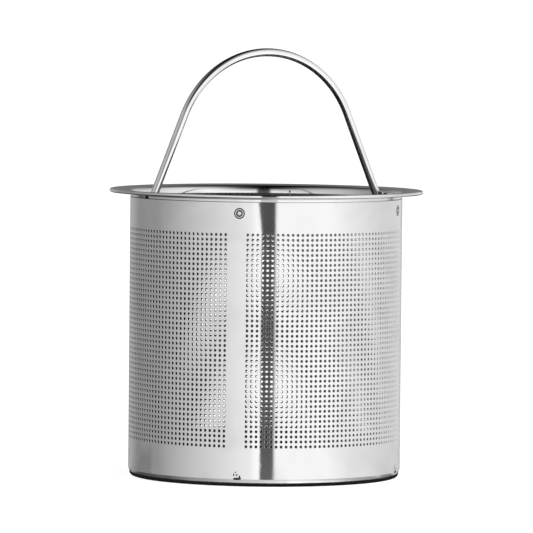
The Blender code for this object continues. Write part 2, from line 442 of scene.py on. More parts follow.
def handling_marks() -> bpy.types.ShaderNodeTree:
    """Builds the group for dull patches left by hands, and for stray hairline scratches."""
    wiring = new_group(
        "handling_marks", {"Vector": None, "Patches": 90.0, "Scratches": 160.0}, ["Dull", "Scratch"]
    )
    given = wiring.add("NodeGroupInput")
    made = wiring.add("NodeGroupOutput")
    patches = wiring.add("TexNoise")
    patches.inputs["Detail"].default_value = 4.0
    patches.inputs["Distortion"].default_value = 0.6
    wiring.link(given.outputs["Vector"], patches.inputs["Vector"])
    wiring.link(given.outputs["Patches"], patches.inputs["Scale"])
    spread = wiring.add("MapRange", interpolation_type="SMOOTHSTEP")
    spread.inputs["From Min"].default_value, spread.inputs["From Max"].default_value = PATCH_RANGE
    wiring.link(patches.outputs[0], spread.inputs["Value"])
    wiring.link(spread.outputs[0], made.inputs["Dull"])
    turned = wiring.add("Mapping")
    turned.inputs["Rotation"].default_value = HAIR_TURN
    turned.inputs["Scale"].default_value = HAIR_STRETCH
    wiring.link(given.outputs["Vector"], turned.inputs["Vector"])
    hairs = wiring.add("TexNoise")
    hairs.inputs["Detail"].default_value = 2.0
    wiring.link(turned.outputs[0], hairs.inputs["Vector"])
    wiring.link(given.outputs["Scratches"], hairs.inputs["Scale"])
    thin = wiring.add("MapRange", interpolation_type="SMOOTHSTEP")
    thin.inputs["From Min"].default_value, thin.inputs["From Max"].default_value = HAIR_RANGE
    wiring.link(hairs.outputs[0], thin.inputs["Value"])
    wiring.link(thin.outputs[0], made.inputs["Scratch"])
    return wiring.tree


def rolled_skin() -> bpy.types.ShaderNodeTree:
    """Builds the group for the fine pebbled skin of cold rolled steel."""
    wiring = new_group("rolled_skin", {"Vector": None, "Grains": 2200.0}, ["Height"])
    given = wiring.add("NodeGroupInput")
    made = wiring.add("NodeGroupOutput")
    noise = wiring.add("TexNoise")
    noise.inputs["Detail"].default_value = 2.0
    wiring.link(given.outputs["Vector"], noise.inputs["Vector"])
    wiring.link(given.outputs["Grains"], noise.inputs["Scale"])
    wiring.link(noise.outputs[0], made.inputs["Height"])
    return wiring.tree


@dataclass(frozen=True)
class SteelFinish:
    """One steel: its tint, gloss, and how strongly lines, skin and marks show on it.

    Dull patches come from handling, or from a mesh attribute where mask names one: painted shade on the
    sheet's inside, scorch on the welds.
    """

    name: str
    slot: Slot
    tint: tuple[float, float, float]
    dull_tint: tuple[float, float, float]
    roughness: float
    dull_roughness: float
    lines: float
    line_length: float
    line_depth: float
    skin_depth: float
    scratch_depth: float
    relief: float = 0.02 * MM
    mask: str = ""

    def made(self) -> bpy.types.Material:
        """Gives the finish's material, which is built on first use."""
        return bpy.data.materials.get(self.name) or self.material()

    def material(self) -> bpy.types.Material:
        """Builds the finish as a node material.

        Returns:
            The material, which reads Object coordinates.
        """
        material = bpy.data.materials.new(self.name)
        material.use_nodes = True
        wiring = Wiring(material.node_tree)
        shader = material.node_tree.nodes["Principled BSDF"]
        shader.inputs["Metallic"].default_value = 1.0
        place = wiring.add("TexCoord").outputs["Object"]
        lines = self.group(wiring, "polishing_lines", place, Lines=self.lines, Length=self.line_length)
        marks = self.group(wiring, "handling_marks", place)
        skin = self.group(wiring, "rolled_skin", place)
        dull = marks.outputs["Dull"]
        if self.mask:
            dull = wiring.add("Attribute", attribute_name=self.mask).outputs["Fac"]
        self.blend(wiring, dull, shader)
        height = wiring.math("MULTIPLY", lines.outputs["Height"], self.line_depth)
        height = wiring.math("MULTIPLY_ADD", skin.outputs["Height"], self.skin_depth, height)
        height = wiring.math("MULTIPLY_ADD", marks.outputs["Scratch"], -self.scratch_depth, height)
        bump = wiring.add("Bump")
        bump.inputs["Strength"].default_value = 1.0
        bump.inputs["Distance"].default_value = self.relief
        wiring.link(height, bump.inputs["Height"])
        wiring.link(bump.outputs[0], shader.inputs["Normal"])
        return material

    @staticmethod
    def group(
        wiring: Wiring, name: str, place: bpy.types.NodeSocket, **values: float
    ) -> bpy.types.ShaderNodeGroup:
        """Places a shared group.

        Args:
            wiring: The material's wiring.
            name: The group's name.
            place: The coordinates that it reads.
            values: Plain values of its inputs.

        Returns:
            The group's node.
        """
        node = wiring.add("Group", node_tree=bpy.data.node_groups[name])
        wiring.link(place, node.inputs["Vector"])
        for label, value in values.items():
            node.inputs[label].default_value = value
        return node

    def blend(self, wiring: Wiring, dull: bpy.types.NodeSocket, shader: bpy.types.Node) -> None:
        """Mixes tint and gloss between clean and dull steel.

        Args:
            wiring: The material's wiring.
            dull: The mask of dull patches.
            shader: The shader that takes colour and roughness.
        """
        tint = wiring.add("Mix", data_type="RGBA")
        tint.inputs[6].default_value = (*self.tint, 1.0)
        tint.inputs[7].default_value = (*self.dull_tint, 1.0)
        wiring.link(dull, tint.inputs["Factor"])
        wiring.link(tint.outputs[2], shader.inputs["Base Color"])
        gloss = wiring.add("MapRange")
        gloss.inputs["To Min"].default_value = self.roughness
        gloss.inputs["To Max"].default_value = self.dull_roughness
        wiring.link(dull, gloss.inputs["Value"])
        wiring.link(gloss.outputs[0], shader.inputs["Roughness"])


def hand_over(
    obj: bpy.types.Object, name: str, body: Body, finish: SteelFinish, stands_for: Sequence[str]
) -> None:
    """Names and dresses a finished piece, ties it to its body, and hides the CAD nodes that it replaces.

    Args:
        obj: The piece, in place.
        name: Its name.
        body: The body that it moves with.
        finish: Its steel.
        stands_for: The CAD nodes that it replaces.
    """
    obj.name = name
    obj.data.name = name
    obj.data.materials.clear()
    obj.data.materials.append(finish.made())
    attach(obj, body.value)
    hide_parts(*stands_for)
    LOG.info("%s: %d faces on %s", name, len(obj.data.polygons), body.value)


SHEET_FINISH = SteelFinish(
    name="polished_sheet",
    slot=Slot.SHEET,
    tint=(0.66, 0.66, 0.665),
    dull_tint=(0.61, 0.61, 0.615),
    roughness=0.06,
    dull_roughness=0.11,
    lines=3000.0,
    line_length=6.0,
    line_depth=0.05,
    skin_depth=0.10,
    scratch_depth=0.3,
)
# Painted shade: through its mask, the near-black dull tint darkens the sheet's inside and hole walls towards
# one side; the rest stays light, unpolished steel.
INSIDE_FINISH = SteelFinish(
    name="unpolished_sheet_painted_shade",
    slot=Slot.SHEET,
    tint=(0.72, 0.72, 0.73),
    dull_tint=(0.03, 0.03, 0.03),
    roughness=0.8,
    dull_roughness=0.4,
    lines=3000.0,
    line_length=6.0,
    line_depth=0.1,
    skin_depth=0.4,
    scratch_depth=0.3,
    mask=SIDE_SHADE,
)
RIM_FINISH = SteelFinish(
    name="pressed_rim_steel",
    slot=Slot.RIM,
    tint=(0.67, 0.67, 0.675),
    dull_tint=(0.61, 0.61, 0.615),
    roughness=0.06,
    dull_roughness=0.1,
    lines=5000.0,
    line_length=8.0,
    line_depth=0.06,
    skin_depth=0.1,
    scratch_depth=0.3,
)
BASE_FINISH = SteelFinish(
    name="pressed_base_steel",
    slot=Slot.BASE,
    tint=(0.64, 0.64, 0.645),
    dull_tint=(0.56, 0.56, 0.565),
    roughness=0.08,
    dull_roughness=0.15,
    lines=4000.0,
    line_length=8.0,
    line_depth=0.2,
    skin_depth=0.15,
    scratch_depth=0.4,
)
WIRE_FINISH = SteelFinish(
    name="drawn_wire_steel",
    slot=Slot.WIRE,
    tint=(0.70, 0.70, 0.705),
    dull_tint=(0.64, 0.64, 0.645),
    roughness=0.04,
    dull_roughness=0.08,
    lines=2500.0,
    line_length=30.0,
    line_depth=0.05,
    skin_depth=0.05,
    scratch_depth=0.2,
)
# Painted shade: a near-black steel for the pins' rough cut ends and for their sides where they sit in the
# rim's holes.
CUT_END_SHADE_FINISH = SteelFinish(
    name="cut_wire_end_painted_shade",
    slot=Slot.WIRE,
    tint=(0.12, 0.12, 0.12),
    dull_tint=(0.05, 0.05, 0.05),
    roughness=0.45,
    dull_roughness=0.6,
    lines=2500.0,
    line_length=30.0,
    line_depth=0.2,
    skin_depth=1.0,
    scratch_depth=0.5,
)
# Painted shade: the pivot holes' walls take the same near-black steel as the pins' ends.
BORE_SHADE_FINISH = replace(CUT_END_SHADE_FINISH, name="pivot_bore_painted_shade", slot=Slot.RIM)
WELD_FINISH = SteelFinish(
    name="weld_mark_steel",
    slot=Slot.WELD,
    tint=(0.66, 0.66, 0.665),
    dull_tint=(0.05, 0.05, 0.05),
    roughness=0.14,
    dull_roughness=0.45,
    lines=6000.0,
    line_length=60.0,
    line_depth=0.3,
    skin_depth=0.6,
    scratch_depth=0.4,
    mask=SCORCH,
)


# Sub-assemblies


@dataclass
class RolledSheet:
    """The wall: a sheet punched flat in square rows, rolled, and closed along a plain strip."""

    radius: float = 33.0 * MM
    gauge: float = 0.3 * MM
    band: float = 7.2 * MM
    strip: float = 4.2 * MM
    strip_steps: int = 7
    seam_azimuth: float = math.radians(-131.93)
    hole_radius: float = 0.32 * MM
    lip: float = 0.08 * MM
    hole_sides: int = 8
    rows: int = 43
    front: float = math.radians(-119.7)
    slip: float = math.radians(0.86)
    slip_start: float = math.radians(80.0)
    slip_run: float = math.radians(50.0)
    sector_columns: tuple[int, ...] = (57, 56, 56)
    # Across the wall, where the painted shade inside is full and where it has gone.
    shade_reach: Point = (-0.57, 0.34)
    rim_lean: float = math.radians(0.18)
    rim_drop: float = 0.1 * MM
    edge_drop: float = 0.1 * MM
    flare: float = math.radians(1.36)
    flare_azimuth: float = math.radians(-122.7)
    flare_width: float = math.radians(2.2)
    crease: float = math.radians(50.0)
    face_on: float = 0.9
    polished_to: float = 0.3
    low: float = field(init=False)
    high: float = field(init=False)
    tile: Point = field(init=False)

    def __post_init__(self) -> None:
        """Takes the sheet's height from its CAD node, and works out the size of a tile."""
        low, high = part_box("perforated_wall")
        self.low, self.high = low.z, high.z
        width = (math.tau * self.radius - self.strip) / sum(self.sector_columns)
        self.tile = (width, (self.high - self.low - 2 * self.band) / self.rows)

    def lay(self, obj: bpy.types.Object, azimuth: float, height: float) -> None:
        """Rolls a flat shape onto the wall.

        Args:
            obj: A shape in the XY plane: X runs round the wall, Y up it, and Z out of it.
            azimuth: Where its origin goes, round the axis.
            height: Where its origin goes, above the floor.
        """
        flat = read_places(obj)
        turn = azimuth + flat[:, 0] / self.radius
        behind = np.abs((turn - self.front + math.pi) % math.tau - math.pi)
        eased = np.clip((behind - self.slip_start) / self.slip_run, 0.0, 1.0)
        turn += self.slip * eased * eased * (3.0 - 2.0 * eased)
        distance = self.radius + flat[:, 2]
        across = (distance * np.cos(turn), distance * np.sin(turn))
        write_places(obj, np.column_stack((*across, height + flat[:, 1])))

    def tip(self, places: np.ndarray) -> np.ndarray:
        """Works out how the rim, which sits a little low and out of square, moves places up or down.

        Args:
            places: Places at the rim, as rows.

        Returns:
            How far each moves up.
        """
        towards = places[:, 0] * math.cos(self.front) + places[:, 1] * math.sin(self.front)
        return towards * math.tan(self.rim_lean) - self.rim_drop

    def meet_rim(self, sheet: bpy.types.Object) -> None:
        """Moves the sheet's upper edge to where the rim sits."""
        places = read_places(sheet)
        edge = places[:, 2] > self.high - WELD
        places[edge, 2] += self.tip(places[edge]) - self.edge_drop
        write_places(sheet, places)

    def sector(self, number: int) -> bpy.types.Object:
        """Models one share of the wall, closed all round.

        Args:
            number: Which share, from 0. The first has the plain strip.

        Returns:
            The sector, rolled and in place.
        """
        columns = self.sector_columns[number]
        width, height = columns * self.tile[0], self.rows * self.tile[1]
        left = 0.0
        sheet = punched_tile(self.tile, self.hole_radius, self.lip, self.gauge, self.hole_sides)
        repeat(sheet, self.rows, (0.0, self.tile[1], 0.0))
        repeat(sheet, columns, (self.tile[0], 0.0, 0.0))
        with editing(sheet):
            if number == 0:
                self.open_edge(sheet, Axis.X, 0.0)
                for _ in range(self.strip_steps):
                    pull_edges((-self.strip / self.strip_steps, 0.0, 0.0))
                left = -self.strip
            for level, step in ((height, self.band), (0.0, -self.band)):
                self.open_edge(sheet, Axis.Y, level)
                pull_edges((0.0, step, 0.0))
            for axis, level in (
                (Axis.Y, height + self.band),
                (Axis.Y, -self.band),
                (Axis.X, left),
                (Axis.X, width),
            ):
                self.open_edge(sheet, axis, level)
                bpy.ops.mesh.bridge_edge_loops()
            face_outwards()
        before = sum(self.sector_columns[:number]) * self.tile[0]
        start = self.seam_azimuth + (self.strip / 2 + before) / self.radius
        self.lay(sheet, start, self.low + self.band)
        self.meet_rim(sheet)
        self.shade(sheet)
        return sheet

    def open_edge(self, sheet: bpy.types.Object, axis: Axis, level: float) -> None:
        """Selects the open edges of both faces of the sheet along one of its sides.

        Args:
            sheet: The flat sheet in edit mode.
            axis: The axis that the side is square to.
            level: Where the side lies on that axis.
        """

        def on_side(first: Vector, second: Vector) -> bool:
            """Says whether an edge runs along the side and stays on one face."""
            near = all(abs(end[axis.value] - level) < WELD for end in (first, second))
            return near and abs(first.z - second.z) < WELD

        pick_open_edges(sheet, on_side)

    def shade(self, sheet: bpy.types.Object) -> None:
        """Gives the sheet's two faces a true cylinder's normals, apart from a slight bulge under the rim."""
        smooth(sheet, self.crease)
        mesh = sheet.data
        corners = np.empty(len(mesh.loops) * 3, np.float32)
        mesh.corner_normals.foreach_get("vector", corners)
        corners = corners.reshape(-1, 3)
        ends = np.empty(len(mesh.loops), np.int32)
        mesh.loops.foreach_get("vertex_index", ends)
        places = read_places(sheet)[ends]
        turn = np.arctan2(places[:, 1], places[:, 0])
        under_rim = places[:, 2] > self.high - self.band / 2
        aside = (turn - self.flare_azimuth) / self.flare_width
        turn += self.flare * under_rim * np.exp(-aside * aside)
        outward = np.column_stack((np.cos(turn), np.sin(turn), np.zeros(len(turn))))
        facing = np.empty(len(mesh.polygons) * 3, np.float32)
        mesh.polygons.foreach_get("normal", facing)
        counts = np.empty(len(mesh.polygons), np.int32)
        mesh.polygons.foreach_get("loop_total", counts)
        across = (np.repeat(facing.reshape(-1, 3), counts, axis=0) * outward).sum(axis=1)
        on_face = np.abs(across) > self.face_on
        corners[on_face] = outward[on_face] * np.sign(across[on_face])[:, None]
        mesh.normals_split_custom_set(corners.tolist())

    def build(self) -> None:
        """Models, dresses and places the wall's sectors."""
        for number in range(len(self.sector_columns)):
            sheet = self.sector(number)
            hand_over(sheet, f"wall_sector_{number + 1}", Body.BASKET, SHEET_FINISH, ["perforated_wall"])
            self.dull_and_shade_inside(sheet)

    def dull_and_shade_inside(self, sheet: bpy.types.Object) -> None:
        """Gives the hole walls and the inner face unpolished steel, with painted shade that darkens them
        towards one side.
        """
        sheet.data.materials.append(INSIDE_FINISH.made())
        places = read_places(sheet)
        # Painted shade: full on one side of the inside, none on the other.
        aside = (places[:, 1] * math.cos(self.front) - places[:, 0] * math.sin(self.front)) / self.radius
        painted_shade = np.interp(aside, self.shade_reach, (1.0, 0.0)).astype(np.float32)
        sheet.data.attributes.new(SIDE_SHADE, "FLOAT", "POINT").data.foreach_set("value", painted_shade)
        for face in sheet.data.polygons:
            outward = Vector((face.center.x, face.center.y, 0.0)).normalized()
            face.material_index = int(face.normal.dot(outward) < self.polished_to)


@dataclass
class PressedRim:
    """The rim: a flange, a short neck, a step, and a sleeve behind the sheet, with two pivot holes."""

    sheet: RolledSheet
    thickness: float = 0.6 * MM
    flange: float = 0.85 * MM
    dish: float = math.radians(4.0)
    top_edge: float = 0.3 * MM
    low_edge: float = 0.3 * MM
    outer_bend: float = 0.15 * MM
    mouth_bend: float = 1.2 * MM
    throat_bend: float = 4.0 * MM
    throat_angle: float = 16.0
    joint_round: float = 0.14 * MM
    neck_draft: float = math.radians(4.0)
    hold: float = 0.02 * MM
    sheet_gap: float = 0.05 * MM
    sleeve: float = 0.55 * MM
    step_high: float = 66.9 * MM
    step_low: float = 66.6 * MM
    hole_radius: float = 1.05 * MM
    hole_reach: float = 36.3 * MM
    hole_facets: int = 48
    bore_side: float = 0.5
    slit_azimuth: float = math.radians(50.0)
    slit: tuple[float, float, float] = (0.8 * MM, 0.4 * MM, 1.1 * MM)
    slit_height: float = 67.5 * MM
    facets: int = 256

    def outline(self) -> list[Point]:
        """Works out the rim's section.

        Returns:
            Its points, down the outside from the flange's edge and back up the inside.
        """
        low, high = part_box("rim_ring")
        neck = self.sheet.radius
        inside = neck - self.thickness
        lap = neck - self.sheet.gauge - self.sheet_gap
        ledge = self.sheet.high - self.sheet.edge_drop + self.sheet_gap
        lean = math.degrees(self.dish)
        crest = high.z - self.top_edge
        brink = high.x - self.top_edge
        face = crest + self.top_edge / math.cos(self.dish) - brink * math.tan(self.dish)
        underside = face - self.flange / math.cos(self.dish)

        def beside(level: float, r: float, radius: float) -> Point:
            """Gives the centre, at r, of an arc that touches a face of the dished flange."""
            return r, level + r * math.tan(self.dish) + radius / math.cos(self.dish)

        points = arc((brink, crest), self.top_edge, 90 + lean, 0)
        turnover = beside(underside, high.x - self.low_edge, self.low_edge)
        points += arc(turnover, self.low_edge, 0, lean - 90)
        bend = beside(underside, neck + self.outer_bend, -self.outer_bend)
        points += arc(bend, self.outer_bend, 90 + lean, 180)
        foot = ledge + self.joint_round
        slope = math.tan(self.neck_draft)
        slim = neck - (bend[1] - foot) * slope
        points += [(neck - self.hold * slope, bend[1] - self.hold)]
        points += [(slim + self.hold * slope, foot + self.hold)]
        points += arc((slim - self.joint_round, foot), self.joint_round, 0, -90)
        points += [(lap, ledge), (lap, low.z), (lap - self.sleeve, low.z)]
        points += [(lap - self.sleeve, self.step_low), (inside, self.step_high)]
        turned = math.radians(180 - self.throat_angle)
        inset = (self.throat_bend - self.mouth_bend) * math.cos(turned)
        mouth = beside(face, inside + self.throat_bend + inset, -self.mouth_bend)
        throat_z = mouth[1] - (self.throat_bend - self.mouth_bend) * math.sin(turned)
        throat = (inside + self.throat_bend, throat_z)
        points += arc(throat, self.throat_bend, 180, 180 - self.throat_angle)
        points += arc(mouth, self.mouth_bend, 180 - self.throat_angle, 90 + lean, 12)[1:]
        return points

    def build(self) -> None:
        """Models, dresses and places the rim."""
        ring = turn_outline(self.outline(), self.facets)
        places = read_places(ring)
        places[:, 2] += self.sheet.tip(places)
        write_places(ring, places)
        pivot = frame["joints"][0]["pos_m"]
        deselect_all()
        bpy.ops.mesh.primitive_cylinder_add(
            vertices=self.hole_facets,
            radius=self.hole_radius,
            depth=2 * self.hole_reach,
            location=pivot,
            rotation=(0.0, math.pi / 2, 0.0),
        )
        cut_away(ring, bpy.context.object)
        deselect_all()
        reach = self.sheet.radius - self.thickness
        around = (reach * math.cos(self.slit_azimuth), reach * math.sin(self.slit_azimuth))
        bpy.ops.mesh.primitive_cube_add(
            size=1.0,
            location=(*around, self.slit_height),
            rotation=(0.0, 0.0, self.slit_azimuth),
            scale=self.slit,
        )
        cut_away(ring, bpy.context.object)
        smooth(ring)
        hand_over(ring, "flanged_rim", Body.BASKET, RIM_FINISH, ["rim_ring"])
        self.shade_bores(ring, pivot)

    def shade_bores(self, ring: bpy.types.Object, pivot: Sequence[float]) -> None:
        """Gives the walls of the pivot holes a cut edge's rough steel, near black as painted shade inside
        the holes.

        Args:
            ring: The rim, with its holes.
            pivot: A place on the line that the holes lie on.
        """
        ring.data.materials.append(BORE_SHADE_FINISH.made())
        for face in ring.data.polygons:
            away = math.hypot(face.center.y - pivot[1], face.center.z - pivot[2])
            face.material_index = int(away < self.hole_radius and abs(face.normal.x) < self.bore_side)


@dataclass
class PressedBase:
    """The base: a shallow cup inside the foot of the sheet, with a punched floor."""

    sheet: RolledSheet
    thickness: float = 0.5 * MM
    corner: float = 0.9 * MM
    taper: float = math.radians(6.0)
    foot_recess: float = 0.2 * MM
    sheet_gap: float = 0.05 * MM
    hole_pitch: float = 1.2 * MM
    hole_radius: float = 0.3 * MM
    lip: float = 0.05 * MM
    hole_sides: int = 8
    punched_radius: float = 27.0 * MM
    floor_radius: float = 28.8 * MM
    facets: int = 256

    def outline(self) -> list[Point]:
        """Works out the section of the cup round its punched floor.

        Returns:
            Its points, from the floor's underside round the foot, up the lap and back to the floor.
        """
        _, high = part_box("base_cup")
        lap = self.sheet.radius - self.sheet.gauge - self.sheet_gap
        foot = self.sheet.radius - self.foot_recess
        ledge = self.sheet.low - self.sheet_gap
        inside = lap - self.thickness
        fillet = self.corner - self.thickness / 2
        rise = ledge - self.corner * (1.0 - math.sin(self.taper))
        bend = foot - rise * math.tan(self.taper) - self.corner * math.cos(self.taper)
        points = [(self.floor_radius, 0.0)]
        points += arc((bend, self.corner), self.corner, -90, -math.degrees(self.taper))
        points += [(foot, ledge), (lap, ledge), (lap, high.z), (inside, high.z)]
        points += arc((inside - fillet, self.thickness + fillet), fillet, 0, -90)
        points += [(self.floor_radius, self.thickness)]
        return points

    def floor(self) -> bpy.types.Object:
        """Models the punched floor out to a plain round edge, still open there.

        Returns:
            The floor, with its upper face up and its underside on the ground.
        """
        count = 2 * int(self.punched_radius / self.hole_pitch) + 1
        half = count * self.hole_pitch / 2
        tile = (self.hole_pitch, self.hole_pitch)
        floor = punched_tile(tile, self.hole_radius, self.lip, self.thickness, self.hole_sides)
        repeat(floor, count, (self.hole_pitch, 0.0, 0.0))
        repeat(floor, count, (0.0, self.hole_pitch, 0.0))
        with editing(floor):
            bpy.ops.mesh.select_all(action="SELECT")
            bpy.ops.transform.translate(value=(-half, -half, self.thickness))
            bpy.ops.mesh.select_mode(type="FACE")
            bpy.ops.mesh.select_all(action="DESELECT")
            shape = bmesh.from_edit_mesh(floor.data)
            for face in shape.faces:
                spot = face.calc_center_median() / self.hole_pitch
                reach = math.hypot(round(spot.x), round(spot.y)) * self.hole_pitch
                face.select = reach > self.punched_radius
            bmesh.update_edit_mesh(floor.data)
            bpy.ops.mesh.delete(type="FACE")
            for level in (0.0, self.thickness):
                bpy.ops.mesh.primitive_circle_add(
                    vertices=self.facets, radius=self.floor_radius, location=(0.0, 0.0, level)
                )
                self.pick_level(floor, level)
                bpy.ops.mesh.fill(use_beauty=True)
        return floor

    @staticmethod
    def pick_level(floor: bpy.types.Object, level: float) -> None:
        """Selects the open and loose edges at one level.

        Args:
            floor: The floor in edit mode.
            level: The level's height.
        """
        bpy.ops.mesh.select_mode(type="EDGE")
        bpy.ops.mesh.select_all(action="DESELECT")
        shape = bmesh.from_edit_mesh(floor.data)
        for edge in shape.edges:
            flat = all(abs(vert.co.z - level) < WELD for vert in edge.verts)
            edge.select = flat and len(edge.link_faces) < 2
        bmesh.update_edit_mesh(floor.data)

    def build(self) -> None:
        """Models, dresses and places the base."""
        cup = turn_outline(self.outline(), self.facets, closed=False)
        floor = self.floor()
        activate(cup)
        floor.select_set(True)
        bpy.ops.object.join()
        with editing(cup):
            face_outwards()
        smooth(cup)
        hand_over(cup, "pressed_base", Body.BASKET, BASE_FINISH, ["base_cup"])


@dataclass
class WireBail:
    """The bail: one wire bent into a crown, two splayed legs and two pins."""

    wire_radius: float = 1.0 * MM
    crown_radius: float = 24.7 * MM
    foot_bend: float = 1.3 * MM
    corner_x: float = 31.4 * MM
    tip_chamfer: float = 0.12 * MM
    # How far from each pin's end the near-black painted shade reaches.
    shaded_pin_reach: float = 1.6 * MM
    slide: float = -0.2 * MM
    sides: int = 32
    crown_steps: int = 96
    foot_steps: int = 12

    def build(self) -> None:
        """Models, dresses and places the bail."""
        _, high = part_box("bail_handle")
        pivot_z = frame["joints"][0]["pos_m"][2]
        centre_z = high.z - self.wire_radius - self.crown_radius
        rise = math.asin(self.crown_radius / math.hypot(self.corner_x, centre_z - pivot_z))
        rise += math.atan2(centre_z - pivot_z, self.corner_x)
        bend_x = self.corner_x + self.foot_bend * math.tan(rise / 2)
        leg_start = self.corner_x - self.foot_bend * math.tan(rise / 2) * math.cos(rise)
        leg_end = self.crown_radius * math.sin(rise)
        leg = (leg_start - leg_end) / math.cos(rise)
        deselect_all()
        bpy.ops.mesh.primitive_circle_add(
            vertices=self.sides,
            radius=self.wire_radius - self.tip_chamfer,
            fill_type="NGON",
            location=(high.x, 0.0, pivot_z),
            rotation=(0.0, math.pi / 2, 0.0),
        )
        bail = bpy.context.object
        settle(bail)
        with editing(bail):
            pick_open_edges(bail, lambda first, second: True)
            pull_edges((-self.tip_chamfer, 0.0, 0.0))
            swell = self.wire_radius / (self.wire_radius - self.tip_chamfer)
            here = (high.x - self.tip_chamfer, 0.0, pivot_z)
            bpy.ops.transform.resize(value=(1.0, swell, swell), center_override=here)
            pull_edges((bend_x - here[0], 0.0, 0.0))
            bpy.ops.mesh.spin(
                steps=self.foot_steps,
                angle=rise,
                center=(bend_x, 0.0, pivot_z + self.foot_bend),
                axis=(0.0, -1.0, 0.0),
            )
            pull_edges((-leg * math.cos(rise), 0.0, leg * math.sin(rise)))
            bpy.ops.mesh.spin(
                steps=self.crown_steps // 2,
                angle=rise,
                center=(0.0, 0.0, centre_z),
                axis=(0.0, 1.0, 0.0),
            )
        twin = bail.modifiers.new("other_half", "MIRROR")
        twin.use_mirror_merge = True
        twin.merge_threshold = 10 * WELD
        apply_modifier(bail, twin)
        with editing(bail):
            face_outwards()
        places = read_places(bail)
        pin_share = np.clip((np.abs(places[:, 0]) - self.corner_x) / self.foot_bend, 0.0, 1.0)
        places[:, 0] += self.slide * (1.0 - pin_share)
        write_places(bail, places)
        smooth(bail)
        hand_over(bail, "wire_bail", Body.BAIL, WIRE_FINISH, ["bail_handle"])
        # Painted shade: each pin, out from its end, takes near-black steel where it sits in the rim's hole.
        bail.data.materials.append(CUT_END_SHADE_FINISH.made())
        for face in bail.data.polygons:
            face.material_index = int(abs(face.center.x) > high.x - self.shaded_pin_reach)


@dataclass
class WeldMarks:
    """The spot welds: scorched rings round a crown at the rim, spatter and a burnt edge at the base."""

    sheet: RolledSheet
    rim_radius: float = 1.4 * MM
    crown: float = 0.07 * MM
    sunk: float = 0.03 * MM
    spatter_crown: float = 0.05 * MM
    facets: int = 48
    spatter_facets: int = 16
    # A rim mark's rings: share of its radius, share of its crown's height, and scorch.
    rings: tuple[tuple[float, float, float], ...] = (
        (0.0, 0.7, 0.0),
        (0.28, 0.6, 0.0),
        (0.38, 0.0, 1.0),
        (0.54, 0.1, 1.0),
        (0.62, 0.8, 0.0),
        (0.70, 1.0, 0.0),
        (0.77, 0.7, 1.0),
        (0.92, 0.1, 1.0),
    )
    # Across, up and half sizes of each spot of spatter, from the weld's middle.
    spatter: tuple[tuple[float, float, float, float], ...] = (
        (-0.80 * MM, -0.65 * MM, 0.20 * MM, 0.42 * MM),
        (-0.40 * MM, -0.05 * MM, 0.20 * MM, 0.24 * MM),
        (-0.10 * MM, -0.70 * MM, 0.38 * MM, 0.22 * MM),
        (0.60 * MM, -1.15 * MM, 0.28 * MM, 0.42 * MM),
        (0.75 * MM, -1.52 * MM, 0.28 * MM, 0.24 * MM),
        (-0.10 * MM, -1.56 * MM, 1.15 * MM, 0.32 * MM),
    )

    def rim_mark(self) -> bpy.types.Object:
        """Models a mark at the rim, flat: a crown, a dished ring, a raised ring and a sunk edge.

        Returns:
            The mark, with its scorch in a mesh attribute.
        """
        rings = (*self.rings, (1.0, -self.sunk / self.crown, 1.0))
        outline = [(share * self.rim_radius, lift * self.crown) for share, lift, _ in rings]
        mark = turn_outline(outline + [(0.0, -self.sunk)], self.facets, closed=False)
        reach = np.hypot(*read_places(mark).T[:2]) / self.rim_radius
        scorch = np.interp(reach, [ring[0] for ring in rings], [ring[2] for ring in rings])
        self.burn(mark, scorch)
        return mark

    def base_mark(self) -> bpy.types.Object:
        """Models a mark at the base, flat: low spots of spatter, and a burnt line on the sheet's edge.

        Returns:
            The mark, scorched all over.
        """
        mark = None
        dome = arc((0.0, 0.0), 1.0, 90, 0, steps=3)
        for across, up, half_width, half_height in self.spatter:
            spot = turn_outline([*dome, (0.0, 0.0)], self.spatter_facets, closed=False)
            with editing(spot):
                bpy.ops.mesh.select_all(action="SELECT")
                size = (half_width, half_height, self.spatter_crown)
                bpy.ops.transform.resize(value=size, center_override=(0.0, 0.0, 0.0))
                bpy.ops.transform.translate(value=(across, up, -self.sunk))
            if mark:
                activate(mark)
                spot.select_set(True)
                bpy.ops.object.join()
            else:
                mark = spot
        self.burn(mark, np.ones(len(mark.data.vertices)))
        return mark

    @staticmethod
    def burn(mark: bpy.types.Object, scorch: np.ndarray) -> None:
        """Keeps each vertex's scorch in a mesh attribute."""
        burnt = mark.data.attributes.new(SCORCH, "FLOAT", "POINT")
        burnt.data.foreach_set("value", scorch.astype(np.float32))

    def build(self) -> None:
        """Models, dresses and places the marks, each where its CAD node is."""
        for row, model in (("rim", self.rim_mark), ("base", self.base_mark)):
            for number in range(1, 5):
                node = f"{row}_weld_{number}"
                low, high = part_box(node)
                middle = (low + high) / 2
                mark = model()
                self.sheet.lay(mark, math.atan2(middle.y, middle.x), middle.z)
                smooth(mark)
                hand_over(mark, f"{row}_weld_mark_{number}", Body.BASKET, WELD_FINISH, [node])


# Studio

